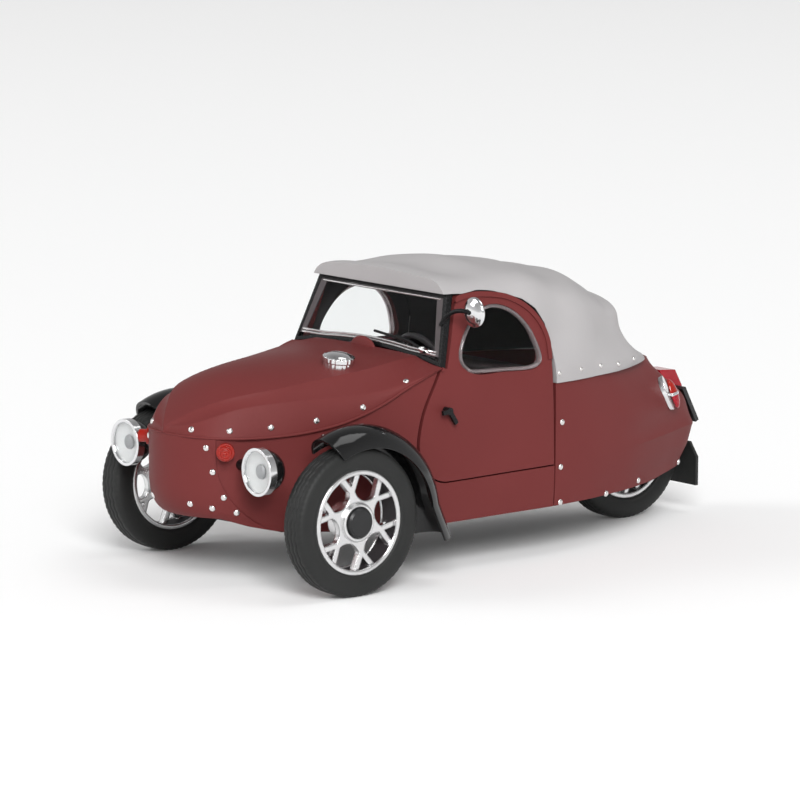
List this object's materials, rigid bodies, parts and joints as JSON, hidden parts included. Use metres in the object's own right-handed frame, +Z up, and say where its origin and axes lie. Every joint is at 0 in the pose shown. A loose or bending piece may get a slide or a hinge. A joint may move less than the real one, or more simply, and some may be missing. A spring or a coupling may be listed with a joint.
{
  "type": "three wheeled car, 1:43 die-cast scale model",
  "caption": "Die-cast scale model of a small open-nosed sports car with two front wheels under cycle mudguards, one rear wheel, a riveted bonnet and a moulded folding top.",
  "frame": {"origin": "on the ground under the middle of the model", "axes": "+Z up, front faces -Y, the left side of the car is +X"},
  "size_m": [0.0326, 0.065, 0.0286],
  "materials": {
    "body_paint": "satin dark burgundy paint on the die-cast shell",
    "bonnet_paint": "satin dark burgundy paint",
    "soft_top_plastic": "matte light grey moulded plastic",
    "base_plastic": "matte black",
    "interior_plastic": "matte near-black",
    "tyre_rubber": "matte black rubber",
    "chrome_plating": "bright plated plastic",
    "cap_plastic": "gloss black",
    "axle_steel": "plain steel rod",
    "lamp_lens": "clear moulded lens",
    "clear_plastic": "clear moulded plastic",
    "black_plastic": "gloss black",
    "amber_lens": "translucent orange-red",
    "red_lens": "translucent red"
  },
  "bodies": {
    "body": {"base_plate": "base_plastic", "bonnet": "bonnet_paint", "dashboard": "interior_plastic", "door_handles": "black_plastic", "door_left": "body_paint", "door_right": "body_paint", "front_axle": "axle_steel", "front_body": "body_paint", "front_indicators": "amber_lens", "fuel_cap": "chrome_plating", "headlamp_bowls": "black_plastic", "headlamp_left": "chrome_plating", "headlamp_lens_left": "lamp_lens", "headlamp_lens_right": "lamp_lens", "headlamp_right": "chrome_plating", "interior_tub": "interior_plastic", "mirror_arm": "black_plastic", "mirror_head": "chrome_plating", "mud_flap": "black_plastic", "mudguard_left": "black_plastic", "mudguard_right": "black_plastic", "number_plate": "black_plastic", "rear_axle": "axle_steel", "rear_body": "body_paint", "rear_fork": "base_plastic", "seat": "interior_plastic", "side_window_left": "clear_plastic", "side_window_right": "clear_plastic", "soft_top": "soft_top_plastic", "steering_wheel": "interior_plastic", "stop_lamp": "red_lens", "tail_lamp_bases": "chrome_plating", "tail_lamp_lenses": "red_lens", "windscreen_frame": "black_plastic", "windscreen_glass": "clear_plastic", "wiper": "black_plastic"},
    "wheel_front_left": {"hub_cap_front_left": "cap_plastic", "rim_front_left": "chrome_plating", "tyre_front_left": "tyre_rubber"},
    "wheel_front_right": {"hub_cap_front_right": "cap_plastic", "rim_front_right": "chrome_plating", "tyre_front_right": "tyre_rubber"},
    "wheel_rear": {"rim_rear": "chrome_plating", "tyre_rear": "tyre_rubber"}
  },
  "joints": [
    {"name": "wheel_front_left_spin", "type": "hinge", "parent": "body", "child": "wheel_front_left", "pos_m": [0.01439, -0.02158, 0.007], "axis": [1, 0, 0], "continuous": true},
    {"name": "wheel_front_right_spin", "type": "hinge", "parent": "body", "child": "wheel_front_right", "pos_m": [-0.01439, -0.02158, 0.007], "axis": [1, 0, 0], "continuous": true},
    {"name": "wheel_rear_spin", "type": "hinge", "parent": "body", "child": "wheel_rear", "pos_m": [0, 0.02462, 0.007], "axis": [1, 0, 0], "continuous": true}
  ]
}
